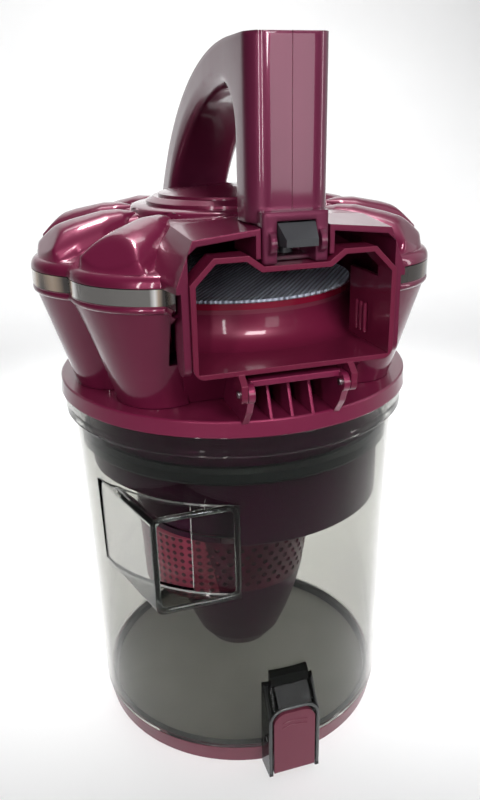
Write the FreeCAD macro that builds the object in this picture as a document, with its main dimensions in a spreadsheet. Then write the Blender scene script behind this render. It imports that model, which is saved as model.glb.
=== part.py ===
"""Cyclonic dust canister: bin, cyclone pack, hinged lid with handle, and bottom door.

Frame: origin on the bin's axis in the plane it stands on, +Z up, outlet port and latch facing -Y.
All sizes are millimetres and come from the sheet "dims".
"""
import FreeCAD, Part
import math
import os
import re

import Sketcher

V = FreeCAD.Vector
X_AXIS = V(1, 0, 0)
Y_AXIS = V(0, 1, 0)
Z_AXIS = V(0, 0, 1)
GAP = 0.3            # air between pieces on different bodies
SKIN = 0.1           # air between pieces that are fixed to each other

doc = FreeCAD.newDocument("dust_canister")
sheet = doc.addObject("Spreadsheet::Sheet", "dims")

DIMENSIONS = {
    # bottom door
    "door_rim_height": 11.4, "door_foot_radius": 79.7, "door_rim_radius": 81.7,
    "door_floor": 2.4, "door_rim_inner": 78.4, "door_hinge_y": 87.2, "door_hinge_z": 6.6,
    "door_pin_radius": 2.0,
    # bin
    "bin_foot": 11.7, "bin_top": 191.9, "bin_foot_radius": 81.7, "bin_neck_radius": 84.6,
    "bin_wall": 2.2, "flange_foot": 181.6, "flange_radius": 88.5,
    # tangential inlet
    "inlet_low": 107.0, "inlet_high": 157.0, "inlet_near_x": -22.5, "inlet_far_x": -63.3,
    "inlet_face_y": -81.5, "inlet_wall": 2.1,
    # bottom latch
    "latch_half_width": 13.5, "latch_front_y": -93.0, "latch_shoulder": 45.5, "latch_crest": 54.5,
    "latch_block_top": 61.5, "latch_pivot_y": -88.4, "latch_pivot_z": 24.0, "tab_half_width": 11.0,
    "tab_foot": 5.0, "tab_head": 42.2,
    # collar and lid hinge
    "collar_foot": 192.1, "collar_top": 199.6, "collar_radius": 90.0, "collar_inner": 77.9,
    "plate_hole": 57.0, "cyclone_circle": 45.5,
    "hinge_y": -93.5, "hinge_z": 214.5, "hinge_pin_radius": 1.5, "ear_radius": 4.2,
    "inner_ear_x": 19.5, "outer_ear_x": 22.6, "ear_thickness": 2.8,
    # cyclone pack inside the bin
    "skirt_radius": 77.5, "skirt_low": 131.0, "skirt_high": 153.5, "skirt_wall": 2.0,
    "seal_low": 164.5, "seal_high": 173.0, "shroud_top": 112.0, "shroud_foot": 78.0,
    "shroud_top_radius": 43.0, "shroud_foot_radius": 38.0, "bowl_foot": 23.0,
    # lobed crown
    "lobe_count": 11, "lobe_reach": 98.5, "valley_reach": 92.8, "foot_reach": 83.0,
    "foot_valley": 70.5, "foot_height": 199.8, "lip_low": 246.6, "band_low": 249.9,
    "band_high": 256.7, "crown_wall": 2.3, "front_y": -88.5, "front_foot_y": -58.0,
    "deck_top": 221.4, "deck_thickness": 2.4, "slot_half_width": 48.2,
    # filter
    "drum_radius": 61.0, "drum_top": 240.5, "filter_face": 244.6,
    # lid
    "brim_low": 257.0, "brim_high": 261.2, "crest_front": 275.4, "crest_rear": 280.6,
    "hub_radius": 47.5, "hub_low": 279.6, "lid_wall": 2.3,
    "hood_y": -91.3, "hood_shoulder_x": 41.5, "hood_shoulder_z": 277.0,
    "hood_top": 279.8, "notch_half_width": 14.4,
    # inner duct frame
    "duct_y": -93.3, "duct_half_width": 43.6, "duct_low": 222.2, "duct_shoulder_z": 260.6,
    "duct_top": 270.2, "duct_wall": 2.2,
    # handle
    "handle_half_width": 17.0, "post_front": -87.0, "post_rear": -65.0, "handle_top": 348.5,
    "handle_wall": 2.6, "block_half_width": 13.7, "block_front": -92.0, "block_low": 266.0,
    "block_high": 285.5, "rod_y": -82.0, "return_spring_y": -79.0, }
for row, (alias, value) in enumerate(DIMENSIONS.items(), start=1):
    sheet.set("A%d" % row, alias)
    sheet.set("B%d" % row, str(value))
    sheet.setAlias("B%d" % row, alias)
doc.recompute()


def size(alias):
    """Value of one sheet cell."""
    return float(sheet.get(alias))


def value_of(expression):
    """Number that an expression on the sheet's aliases gives."""
    return float(sheet.evalExpression(expression))


def bound(expression):
    """The same expression, as a feature outside the sheet writes it."""
    return re.sub(r"[a-z]\w*", lambda word: "dims." + word.group() if word.group() in DIMENSIONS
                  else word.group(), expression)


# ---------------------------------------------------------------- building blocks

parts = []


def register(item, name):
    """Give a finished sub-part its label and keep it for export."""
    item.Label = name
    parts.append(item)
    return item


def new_body(name):
    return doc.addObject("PartDesign::Body", name)


def plane_of(body, role):
    return next(item for item in body.Origin.OriginFeatures if item.Role == role)


def polygon_sketch(body, name, role, points, offset=0.0):
    """Closed polygon whose corners are bound to the sheet: points are pairs of expressions."""
    sketch = body.newObject("Sketcher::SketchObject", name)
    sketch.AttachmentSupport = [(plane_of(body, role), "")]
    sketch.MapMode = "FlatFace"
    sketch.AttachmentOffset = FreeCAD.Placement(V(0, 0, offset), FreeCAD.Rotation())
    corners = [(value_of(across), value_of(up)) for across, up in points]
    count = len(corners)
    for index, corner in enumerate(corners):
        following = corners[(index + 1) % count]
        sketch.addGeometry(Part.LineSegment(V(*corner, 0), V(*following, 0)))
    for index in range(count):
        sketch.addConstraint(Sketcher.Constraint("Coincident", index, 2, (index + 1) % count, 1))
    for index, corner in enumerate(corners):
        for direction, kind in enumerate(("DistanceX", "DistanceY")):
            constraint = Sketcher.Constraint(kind, -1, 1, index, 1, corner[direction])
            number = sketch.addConstraint(constraint)
            sketch.setExpression("Constraints[%d]" % number, bound(points[index][direction]))
    return sketch


def revolve(body, name, points, kind="Revolution"):
    """Turn a half section (radius, height) about Z."""
    sketch = polygon_sketch(body, name + "_section", "XZ_Plane", points)
    feature = body.newObject("PartDesign::" + kind, name)
    feature.Profile = sketch
    feature.ReferenceAxis = (sketch, ["V_Axis"])
    feature.Angle = 360
    doc.recompute()
    return feature


def pad(body, name, role, points, length, offset=0.0, midplane=False, reverse=False):
    """Extrude a polygon; length is an expression."""
    sketch = polygon_sketch(body, name + "_outline", role, points, offset)
    feature = body.newObject("PartDesign::Pad", name)
    feature.Profile = sketch
    feature.setExpression("Length", bound(length))
    feature.Midplane = midplane
    feature.Reversed = reverse
    doc.recompute()
    return feature


def pocket(body, name, role, points, length, offset=0.0, midplane=False, reverse=False):
    """Cut a polygon's prism away, and make sure that it cut something."""
    before = body.Shape.Volume
    sketch = polygon_sketch(body, name + "_outline", role, points, offset)
    feature = body.newObject("PartDesign::Pocket", name)
    feature.Profile = sketch
    feature.setExpression("Length", bound(length))
    feature.Midplane = midplane
    feature.Reversed = reverse
    doc.recompute()
    if body.Shape.Volume > before - 1e-3:
        raise RuntimeError(name + " cut nothing")
    return feature


def rectangle(low_a, low_b, high_a, high_b):
    return [(low_a, low_b), (high_a, low_b), (high_a, high_b), (low_a, high_b)]


def fillet(body, name, radius, chosen):
    """Round the edges of the tip that the test picks."""
    base = body.Tip
    edges = ["Edge%d" % (i + 1) for i, edge in enumerate(base.Shape.Edges) if chosen(edge)]
    feature = body.newObject("PartDesign::Fillet", name)
    feature.Base = (base, edges)
    feature.Radius = radius
    doc.recompute()
    return feature


def shaped(name, shape):
    """Sub-part whose shape is set directly, for forms that sketches don't suit."""
    item = doc.addObject("Part::Feature", name)
    item.Shape = shape.removeSplitter()
    return register(item, name)


def turned(shape, degrees):
    copy = shape.copy()
    copy.rotate(V(0, 0, 0), Z_AXIS, degrees)
    return copy


def block(x_low, x_high, y_low, y_high, z_low, z_high):
    return Part.makeBox(x_high - x_low, y_high - y_low, z_high - z_low, V(x_low, y_low, z_low))


def rod(radius, start, end):
    axis = end - start
    return Part.makeCylinder(radius, axis.Length, start, axis)


def prism(corners, direction):
    """Straight extrusion of a closed polygon of vectors."""
    return Part.Face(Part.makePolygon(corners + corners[:1])).extrude(direction)


def lathe(points):
    """Solid of revolution about Z from a half section of numbers."""
    corners = [V(radius, 0, height) for radius, height in points]
    return Part.Face(Part.makePolygon(corners + corners[:1])).revolve(V(0, 0, 0), Z_AXIS, 360)


def polar(radius, degrees, height):
    """Point at an azimuth counted from -Y towards +X."""
    angle = math.radians(degrees)
    return V(radius * math.sin(angle), -radius * math.cos(angle), height)


def spring(radius, wire, base, direction, length, turns):
    """Compression spring: a round wire swept along a helix."""
    helix = Part.makeHelix(length / turns, length, radius)
    section = Part.Wire(Part.makeCircle(wire, V(radius, 0, 0), Y_AXIS))
    coil = Part.Wire(helix).makePipeShell([section], True, True)
    coil.Placement = FreeCAD.Placement(base, FreeCAD.Rotation(Z_AXIS, direction))
    return coil


def mirrored(shape):
    return shape.mirror(V(0, 0, 0), X_AXIS)


# ---------------------------------------------------------------- lobed outline

SPACING = 360.0 / size("lobe_count")
LOBE_ANGLES = [SPACING * (i + 0.5) for i in range(1, int(size("lobe_count")) - 1)]
FIRST_VALLEY = SPACING


def crown_wire(height, reach, valley, front_y, corner_x, inset=0.0):
    """Closed outline: one arc per lobe, a valley between lobes, a flat front for the port."""
    reach -= inset
    valley -= inset
    corner = V(corner_x - inset, 0, height)
    start = polar(valley, FIRST_VALLEY, height)
    front = V(corner.x - 3.0, front_y + inset, height)
    edges = []
    for number, angle in enumerate(LOBE_ANGLES):
        first = polar(valley, angle - SPACING / 2, height)
        last = polar(valley, angle + SPACING / 2, height)
        edges.append(Part.Arc(first, polar(reach, angle, height), last).toShape())
    end = V(-start.x, start.y, height)
    left = V(-front.x, front.y, height)
    edges.append(Part.LineSegment(end, left).toShape())
    edges.append(Part.LineSegment(left, front).toShape())
    edges.append(Part.LineSegment(front, start).toShape())
    return Part.Wire(edges)


def crown_solid(low, high, inset_low=0.0, inset_high=0.0):
    """Prism or taper of the full lobed outline."""
    wires = [
        crown_wire(height, size("lobe_reach"), size("valley_reach"), size("front_y"), 51.0, inset)
        for height, inset in ((low, inset_low), (high, inset_high))
    ]
    return Part.makeLoft(wires, True, True)


def housing_solid(low, high, inset):
    """Tapered lobed body between two heights, all faces moved in by inset."""
    foot = size("foot_height")
    share = [(height - foot) / (size("lip_low") - foot) for height in (low, high)]

    def blend(start, end, part):
        return start + (end - start) * part

    wires = [
        crown_wire(
            height,
            blend(size("foot_reach"), size("lobe_reach") - 1.2, part),
            blend(size("foot_valley"), size("valley_reach") - 1.2, part),
            blend(size("front_foot_y"), size("front_y"), part),
            blend(43.0, 51.0, part),
            inset,
        )
        for height, part in zip((low, high), share)
    ]
    return Part.makeLoft(wires, True, True)


# ---------------------------------------------------------------- bin and its fittings

def bin_radius(height):
    """Outer radius of the tapered bin at a height."""
    share = (height - size("bin_foot")) / (size("flange_foot") - size("bin_foot"))
    return size("bin_foot_radius") + share * (size("bin_neck_radius") - size("bin_foot_radius"))


def bin_core(low, high, extra=0.0):
    """Solid cone of the bin's outer form, used to fit pieces against it."""
    return Part.makeCone(bin_radius(low) + extra, bin_radius(high) + extra, high - low, V(0, 0, low))


def make_bin():
    body = new_body("bin")
    revolve(body, "bin_shell", [
        ("bin_foot_radius - bin_wall", "bin_foot"),
        ("bin_foot_radius", "bin_foot"),
        ("bin_neck_radius", "flange_foot"),
        ("flange_radius", "flange_foot"),
        ("flange_radius + 0.3", "bin_top"),
        ("bin_neck_radius - bin_wall + 0.1", "bin_top"),
    ])
    outline = rectangle("-86", "inlet_low + inlet_wall", "-43", "inlet_high - inlet_wall")
    pocket(body, "inlet_window", "XZ_Plane", outline, "60", offset=28, reverse=True)
    fillet(body, "flange_rounding", 0.8, lambda edge: edge.BoundBox.ZLength < 0.01
           and edge.BoundBox.XLength > 2 * size("flange_radius") - 0.5)
    register(body, "bin")


def make_inlet_duct():
    body = new_body("inlet_duct")
    tangent = ("-78.2", "-31")
    outline = [("inlet_near_x", "inlet_face_y"), ("inlet_far_x", "inlet_face_y"), tangent,
               ("-60", "-25"), ("-20", "-60")]
    pad(body, "duct_block", "XY_Plane", outline, "inlet_high - inlet_low", offset=size("inlet_low"))
    fillet(body, "duct_rounding", 3.5, lambda edge: edge.BoundBox.ZLength < 0.01
           and edge.BoundBox.XMax < -62 and edge.BoundBox.YMax > -40 and edge.BoundBox.YMin < -80)
    passage = [("inlet_near_x - inlet_wall", "inlet_face_y - 3"),
               ("inlet_far_x + inlet_wall", "inlet_face_y - 3"),
               ("inlet_far_x + inlet_wall", "inlet_face_y"),
               ("-76.2", "-31"), ("-60", "-20"), ("-20", "-58")]
    pocket(body, "duct_passage", "XY_Plane", passage, "inlet_high - inlet_low - 2 * inlet_wall",
           offset=size("inlet_low") + size("inlet_wall"), reverse=True)
    cone = body.newObject("PartDesign::SubtractiveCone", "bin_clearance")
    cone.Radius1 = bin_radius(100) + SKIN
    cone.Radius2 = bin_radius(170) + SKIN
    cone.Height = 70
    cone.Placement = FreeCAD.Placement(V(0, 0, 100), FreeCAD.Rotation())
    doc.recompute()
    register(body, "inlet_duct")


def make_latch_housing():
    width = 2 * size("latch_half_width")
    body = new_body("latch_housing")
    pad(body, "hood", "YZ_Plane", [
        ("latch_front_y", "3"), ("latch_front_y", "latch_shoulder"),
        ("latch_front_y + 6", "latch_crest"), ("-78", "latch_crest"), ("-78", "3"),
    ], "2 * latch_half_width", midplane=True)
    fillet(body, "hood_rounding", 5.0, lambda edge: edge.BoundBox.XLength < 0.01
           and edge.BoundBox.ZMin > 45 and edge.BoundBox.YMax < -80)
    pad(body, "upper_block", "YZ_Plane", [
        ("latch_front_y + 5.5", "latch_crest - 4"), ("latch_front_y + 7.5", "latch_block_top - 2"),
        ("latch_front_y + 9.5", "latch_block_top"), ("-78", "latch_block_top"),
        ("-78", "latch_crest - 4"),
    ], "2 * latch_half_width - 7", midplane=True)
    pocket(body, "tab_chamber", "XZ_Plane", [
        ("-tab_half_width - 0.5", "0"), ("tab_half_width + 0.5", "0"),
        ("tab_half_width + 0.5", "latch_shoulder - 6"), ("tab_half_width - 4", "latch_shoulder - 1.6"),
        ("-tab_half_width + 4", "latch_shoulder - 1.6"), ("-tab_half_width - 0.5", "latch_shoulder - 6"),
    ], "18", offset=78, reverse=True)
    core = body.newObject("PartDesign::SubtractiveCone", "bin_clearance")
    core.Radius1 = bin_radius(12) + SKIN
    core.Radius2 = bin_radius(80) + SKIN
    core.Height = 68
    core.Placement = FreeCAD.Placement(V(0, 0, 12), FreeCAD.Rotation())
    doc.recompute()
    swing = body.newObject("PartDesign::SubtractiveCylinder", "door_clearance")
    swing.Radius = size("door_rim_radius") + 2 * GAP
    swing.Height = 12
    doc.recompute()
    pivot = body.newObject("PartDesign::SubtractiveCylinder", "pivot_bore")
    pivot.Radius = 1.55
    pivot.Height = width + 2
    pivot.Placement = FreeCAD.Placement(
        V(-width / 2 - 1, size("latch_pivot_y"), size("latch_pivot_z")),
        FreeCAD.Rotation(Z_AXIS, X_AXIS))
    doc.recompute()
    register(body, "latch_housing")


def make_latch_tab():
    y = size("latch_pivot_y")
    z = size("latch_pivot_z")
    half = size("tab_half_width")
    foot = size("tab_foot")
    head = size("tab_head")
    face = size("latch_front_y") - 0.4
    plate = block(-half, half, face, face + 2.4, foot, head)
    corners = [edge for edge in plate.Edges if abs(edge.BoundBox.YLength - 2.4) < 0.01
               and edge.BoundBox.ZMin > head - 1]
    plate = plate.makeFillet(6.5, corners)
    for side in (-1, 1):
        lug = block(side * 8.2 - 1.2, side * 8.2 + 1.2, face + 2.4, y + 2.6, z - 3.5, z + 3.5)
        plate = plate.fuse(lug)
    plate = plate.fuse(block(-8, 8, face + 2.4, -87.0, foot + 0.2, foot + 1.8))
    plate = plate.fuse(rod(2.0, V(0, face + 2.3, 37), V(0, face + 3.6, 37)))
    shaped("latch_tab", plate.cut(rod(1.58, V(-12, y, z), V(12, y, z))))
    shaped("latch_pin", rod(1.5, V(-13.2, y, z), V(13.2, y, z)))
    coil_end = -bin_radius(37) - 0.5
    start = face + 3.8
    shaped("latch_spring", spring(2.6, 0.35, V(0, start + 0.6, 37), Y_AXIS, coil_end - start - 1.0, 5))


def make_bottom_door():
    body = new_body("bottom_door")
    revolve(body, "pan", [
        ("0", "0"), ("door_foot_radius - 1", "0"), ("door_foot_radius", "1"),
        ("door_rim_radius", "door_rim_height"), ("door_rim_inner", "door_rim_height"),
        ("door_rim_inner", "door_floor"), ("0", "door_floor"),
    ])
    knuckle = [("79", "1"), ("door_hinge_y + 1", "1"), ("door_hinge_y + 4.4", "door_hinge_z - 2.5"),
               ("door_hinge_y + 4.4", "door_hinge_z + 2.5"), ("door_hinge_y + 1", "door_hinge_z + 3.6"),
               ("81", "door_hinge_z + 3.6"), ("81", "door_hinge_z - 2"), ("79", "door_hinge_z - 2")]
    pad(body, "knuckle", "YZ_Plane", knuckle, "19.6", midplane=True)
    lip = [("-86.5", "6.8"), ("-80.5", "6.8"), ("-80.5", "10.2"), ("-85.5", "10.2"), ("-86.5", "9")]
    pad(body, "latch_lip", "YZ_Plane", lip, "15", midplane=True)
    bore = body.newObject("PartDesign::SubtractiveCylinder", "hinge_bore")
    bore.Radius = size("door_pin_radius") + 0.06
    bore.Height = 30
    bore.Placement = FreeCAD.Placement(V(-15, size("door_hinge_y"), size("door_hinge_z")),
                                       FreeCAD.Rotation(Z_AXIS, X_AXIS))
    doc.recompute()
    register(body, "bottom_door")

    plate = new_body("door_plate")
    revolve(plate, "plate", [
        ("0", "door_floor + 2.6"), ("60", "door_floor + 2.6"), ("60", "door_floor + 0.1"),
        ("door_rim_inner - 2.6", "door_floor + 0.1"), ("door_rim_inner - 2.6", "door_floor + 5.2"),
        ("0", "door_floor + 7.2"),
    ])
    register(plate, "door_plate")

    seal = new_body("door_seal")
    revolve(seal, "ring", [
        ("door_rim_inner - 2.4", "door_floor + 0.1"), ("door_rim_inner - 0.1", "door_floor + 0.1"),
        ("door_rim_inner - 0.1", "door_rim_height + 0.4"), ("door_rim_inner - 1.2", "door_rim_height + 2.2"),
        ("door_rim_inner - 2.4", "door_rim_height + 0.4"),
    ])
    register(seal, "door_seal")


def make_door_hinge():
    y = size("door_hinge_y")
    z = size("door_hinge_z")
    radius = size("door_pin_radius")
    pieces = block(-15, 15, 80, y + 1.5, 14, 24)
    for side in (-1, 1):
        ear = block(side * 12.6 - 2.4, side * 12.6 + 2.4, 82.6, y + 4.2, z - 3.2, 24)
        pieces = pieces.fuse(ear)
    slope = prism([V(-20, y + 1.6, 25), V(-20, y + 5, 25), V(-20, y + 5, 12)], V(40, 0, 0))
    pieces = pieces.cut(slope).cut(bin_core(11, 60, SKIN))
    pieces = pieces.cut(Part.makeCylinder(size("door_rim_radius") + 2 * GAP, 12.4))
    pieces = pieces.cut(rod(radius + 0.02, V(-20, y, z), V(20, y, z)))
    shaped("door_hinge_bracket", pieces)
    shaped("door_hinge_pin", rod(radius, V(-15.4, y, z), V(15.4, y, z)))


# ---------------------------------------------------------------- cyclone pack

def hinge_ear(x_low, x_high, points):
    """Flat hinge cheek with a round eye at the lid's axis."""
    y = size("hinge_y")
    z = size("hinge_z")
    eye = rod(size("ear_radius"), V(x_low, y, z), V(x_high, y, z))
    web = prism([V(x_low, across, up) for across, up in points], V(x_high - x_low, 0, 0))
    return eye.fuse(web)


def make_collar():
    low = size("collar_foot")
    top = size("collar_top")
    radius = size("collar_radius")
    inner = size("collar_inner")
    y = size("hinge_y")
    z = size("hinge_z")
    thick = size("ear_thickness")
    hole = size("plate_hole")
    ring = lathe([(inner, low), (radius, low), (radius - 0.6, top - 0.6), (radius - 1.2, top),
                  (hole, top), (hole, top - 2.2), (inner, top - 2.2)])
    shelf_front = y + 1.5
    wall_y = -60.0
    for side in (-1, 1):
        near = size("inner_ear_x") if side > 0 else -size("inner_ear_x") - thick
        web = [(y - 3.2, z - 1), (y + 0.5, z - 9), (-87.5, top - 1), (wall_y, top - 1), (wall_y, z + 4),
               (y + 1, z + 4.1)]
        ring = ring.fuse(hinge_ear(near, near + thick, web))
    shelf = block(-size("inner_ear_x") - 0.5, size("inner_ear_x") + 0.5, shelf_front, wall_y,
                  z + 2.0, z + 4.6)
    ring = ring.fuse(shelf)
    for x in (-9.5, 0.0, 9.5):
        rib = prism([V(x - 0.7, -88.5, top - 1), V(x - 0.7, -88.5, top + 0.4), V(x - 0.7, -81, z + 2.1),
                     V(x - 0.7, wall_y, z + 2.1), V(x - 0.7, wall_y, top - 1)], V(1.4, 0, 0))
        ring = ring.fuse(rib)
    for side in (-1, 1):
        eye_x = side * (size("inner_ear_x") + thick / 2)
        ring = ring.cut(rod(size("hinge_pin_radius") + 0.02, V(eye_x - 4, y, z), V(eye_x + 4, y, z)))
    ring = ring.cut(housing_solid(size("foot_height"), size("lip_low"), -SKIN))
    shaped("collar", ring)
    pins = []
    for side in (-1, 1):
        start = side * (size("inner_ear_x") - 0.8)
        end = side * (size("outer_ear_x") + thick + 0.6)
        pins.append(rod(size("hinge_pin_radius"), V(start, y, z), V(end, y, z)))
    shaped("lid_hinge_pins", Part.makeCompound(pins))


def make_cyclone_housing():
    foot = size("foot_height")
    lip = size("lip_low")
    band_low = size("band_low")
    wall = size("crown_wall")
    outer = housing_solid(foot, lip, 0)
    outer = outer.fuse(crown_solid(lip, band_low - SKIN, 1.2, 0.0))
    outer = outer.fuse(crown_solid(band_low - SKIN, size("band_high") - 0.3, 1.7, 1.7))
    inner = housing_solid(foot + wall, lip, wall).fuse(crown_solid(lip, 260, 1.2 + wall, 1.2 + wall))
    shell = outer.cut(inner)
    shell = shell.cut(Part.makeCylinder(size("plate_hole"), 10, V(0, 0, foot - 4)))
    shell = shell.fuse(deck_support())
    slot = size("slot_half_width")
    shell = shell.cut(block(-slot, slot, -100, -55, size("deck_top") + 0.1, 262))
    shaped("cyclone_housing", shell)


def deck_support():
    """Ledge inside the housing that carries the deck."""
    top = size("deck_top") - size("deck_thickness") - SKIN
    ledge = housing_solid(top - 3, top, 1.0)
    return ledge.cut(housing_solid(top - 4, top + 1, size("crown_wall") + 3.5))


def make_chrome_band():
    low = size("band_low")
    high = size("band_high")
    band = crown_solid(low, high, 0, 0).cut(crown_solid(low - 1, high + 1, 1.5, 1.5))
    slot = size("slot_half_width")
    band = band.cut(block(-slot, slot, -100, -50, low - 2, high + 2))
    shaped("chrome_band", band)


def make_deck():
    top = size("deck_top")
    low = top - size("deck_thickness")
    plate = housing_solid(low, top, size("crown_wall") + 0.25)
    drum = size("drum_radius")
    for index in range(int(size("lobe_count"))):
        centre = polar(size("cyclone_circle"), SPACING * (index + 0.5), low - 1)
        plate = plate.cut(Part.makeCylinder(5.1, 6, centre))
    for angle in (49.1, 147.3, -49.1, -147.3):
        plate = plate.cut(Part.makeCylinder(1.7, 6, polar(76.0, angle, low - 1)))
    shaped("deck", plate)

    rise = size("drum_top")
    wall = [(drum - 2.2, top + SKIN), (drum + 6.5, top + SKIN), (drum + 2.2, top + 1.6),
            (drum + 0.4, top + 5.5), (drum, top + 9), (drum, rise), (drum - 2.2, rise)]
    shaped("filter_drum", lathe(wall))

    screws = []
    for angle in (49.1, 147.3, -49.1, -147.3):
        shank = Part.makeCylinder(1.5, 9, polar(76.0, angle, top - 8.9))
        head = Part.makeCylinder(3.2, 2.2, polar(76.0, angle, top + SKIN))
        cross = Part.makeBox(4, 0.9, 1.2, polar(76.0, angle, top + SKIN + 1.2) - V(2, 0.45, 0))
        screws.append(shank.fuse(head).cut(cross))
    shaped("deck_screws", Part.makeCompound(screws))


def make_cyclones():
    low = size("deck_top") - size("deck_thickness")
    cones = []
    tubes = []
    for index in range(int(size("lobe_count"))):
        angle = SPACING * (index + 0.5)
        base = polar(size("cyclone_circle"), angle, 152.0)
        outer = Part.makeCone(4.5, 10.8, low - 152.2, base)
        inner = Part.makeCone(3.3, 9.6, low - 152.2, base)
        cones.append(outer.cut(inner))
        foot = polar(size("cyclone_circle"), angle, low - 14)
        tube = Part.makeCylinder(5.0, 14 + size("deck_thickness"), foot)
        tubes.append(tube.cut(Part.makeCylinder(3.9, 30, foot)))
    shaped("cyclone_cones", Part.makeCompound(cones))
    shaped("vortex_tubes", Part.makeCompound(tubes))


def make_filter():
    drum = size("drum_radius")
    rise = size("drum_top")
    face = size("filter_face")
    fit = drum - 2.4
    rim = lathe([(fit, rise - 3.6), (fit - 1.4, rise - 3.6), (fit - 1.4, rise + SKIN),
                 (drum - 5, rise + SKIN), (drum - 5, face - 1.2), (drum + 0.3, face - 1.2),
                 (drum + 0.3, rise + SKIN),
                 (fit, rise + SKIN)])
    low = rise + SKIN
    for angle in range(0, 180, 60):
        spoke = block(-1.0, 1.0, -drum + 4, drum - 4, low + 0.4, face - 1.6)
        rim = rim.fuse(turned(spoke, angle))
    shaped("filter_frame", rim)
    body = new_body("filter_mesh")
    revolve(body, "disc", [("0", "filter_face - 1.1"), ("drum_radius - 0.6", "filter_face - 1.1"),
                           ("drum_radius - 0.6", "filter_face"), ("0", "filter_face")])
    register(body, "filter_mesh")
    core = new_body("filter_core")
    revolve(core, "foam", [("0", "deck_top + 3"), ("drum_radius - 3.2", "deck_top + 3"),
                           ("drum_radius - 3.2", "drum_top - 5"), ("0", "drum_top - 5")])
    register(core, "filter_core")


def make_inner_pack():
    skirt = size("skirt_radius")
    wall = size("skirt_wall")
    low = size("skirt_low")
    high = size("skirt_high")
    top = size("collar_top") - 2.3
    neck = size("shroud_top_radius")
    shroud_top = size("shroud_top")
    shell = lathe([(skirt - wall, top), (skirt - wall, low + 3), (neck - wall, shroud_top + 2),
                   (neck - wall, shroud_top + SKIN), (neck + 1, shroud_top + SKIN), (skirt - 3, low),
                   (skirt - 1, low), (skirt, low + 1), (skirt, top)])
    notch_floor = prism([polar(120, -8, low - 30), polar(120, -50, low - 30), polar(130, -90, low - 30),
                         polar(120, -125, low - 30), polar(40, -100, low - 30),
                         polar(40, -40, low - 30)], V(0, 0, 30 + high - low))
    inner_wall = Part.makeCylinder(56.0, 80, V(0, 0, shroud_top - 5))
    notch = notch_floor.cut(inner_wall)
    shell = shell.cut(notch)
    sector = prism([polar(56.5, -8, low - 10), polar(120, -8, low - 10), polar(130, -65, low - 10),
                    polar(120, -125, low - 10), polar(56.5, -125, low - 10)], V(0, 0, 60))
    roof = lathe([(54.2, high), (skirt - 0.1, high), (skirt - 0.1, high + wall), (54.2, high + wall)])
    side = lathe([(54.2, low - 6), (56.0, low - 7), (56.0, high + 1), (54.2, high + 1)])
    shell = shell.fuse(roof.common(sector)).fuse(side.common(turned(sector, 0)))
    shaped("shroud_skirt", shell)

    seal = new_body("bin_seal")
    revolve(seal, "ring", [
        ("skirt_radius + 0.1", "seal_low"), ("bin_neck_radius - bin_wall - 2.6", "seal_low"),
        ("bin_neck_radius - bin_wall - 0.7", "seal_low + 2"),
        ("bin_neck_radius - bin_wall - 0.7", "seal_high - 2"),
        ("bin_neck_radius - bin_wall - 2.6", "seal_high"), ("skirt_radius + 0.1", "seal_high"),
    ])
    register(seal, "bin_seal")

    foot = size("shroud_foot")
    foot_radius = size("shroud_foot_radius")
    cage = lathe([(foot_radius - 1.8, foot), (foot_radius, foot), (neck, shroud_top),
                  (neck - 1.8, shroud_top)])
    holes = []
    rows = 6
    columns = 40
    for row in range(rows):
        height = foot + 5 + row * 4.6
        for column in range(columns):
            angle = 360.0 / columns * (column + 0.5 * (row % 2))
            start = polar(foot_radius - 6, angle, height)
            end = polar(neck + 4, angle, height)
            holes.append(rod(1.45, start, end))
    shaped("shroud", cage.cut(Part.makeCompound(holes)))

    bowl_low = size("bowl_foot")
    outside = [(foot_radius, foot - SKIN), (36.3, 70), (33.5, 60), (29.5, 48), (24.5, 36), (18, 27.5),
               (9, 23.6), (0, bowl_low)]
    inside = [(0, bowl_low + 2), (8, 25.8), (16.6, 29.5), (22.6, 37.4), (27.4, 49), (31.4, 60.6),
              (34.2, 70.4), (foot_radius - 2, foot - SKIN)]
    shaped("shroud_bowl", lathe(outside + inside))


# ---------------------------------------------------------------- lid

def barrel(inset):
    """Half-round ridge over one lobe, along -Y, with a sloping flat front."""
    front = size("crest_front")
    rear = size("crest_rear")
    stations = [(101.0, front - 3.4, 17.0), (62.0, rear, 12.5), (42.0, rear, 9.5)]
    wires = []
    for radius, crest, half in stations:
        half -= inset
        crest -= inset
        left = V(-half, -radius, 259.0)
        right = V(half, -radius, 259.0)
        arch = Part.Arc(left, V(0, -radius, crest), right).toShape()
        wires.append(Part.Wire([arch, Part.LineSegment(right, left).toShape()]))
    ridge = Part.makeLoft(wires, True, True)
    top_radius = 85.5 - inset
    foot_radius = 95.3 - inset
    face = prism([V(-30, -foot_radius, 262.0), V(-30, -top_radius, front + 0.4), V(-30, -top_radius, 300),
                  V(-30, -130, 300), V(-30, -130, 240), V(-30, -foot_radius, 240)], V(60, 0, 0))
    return ridge.cut(face)


def hood_form(points, start, end):
    """Straight duct form along Y: points are the right half of its outline."""
    right = [V(x, start, z) for x, z in points]
    left = [V(-x, start, z) for x, z in reversed(points)]
    return prism(right + left, V(0, end - start, 0))


def hood_loft(front_points, front_y, rear_points, rear_y):
    wires = []
    for points, y in ((front_points, front_y), (rear_points, rear_y)):
        corners = [V(x, y, z) for x, z in points] + [V(-x, y, z) for x, z in reversed(points)]
        wires.append(Part.makePolygon(corners + corners[:1]))
    return Part.makeLoft(wires, True, True)


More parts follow.
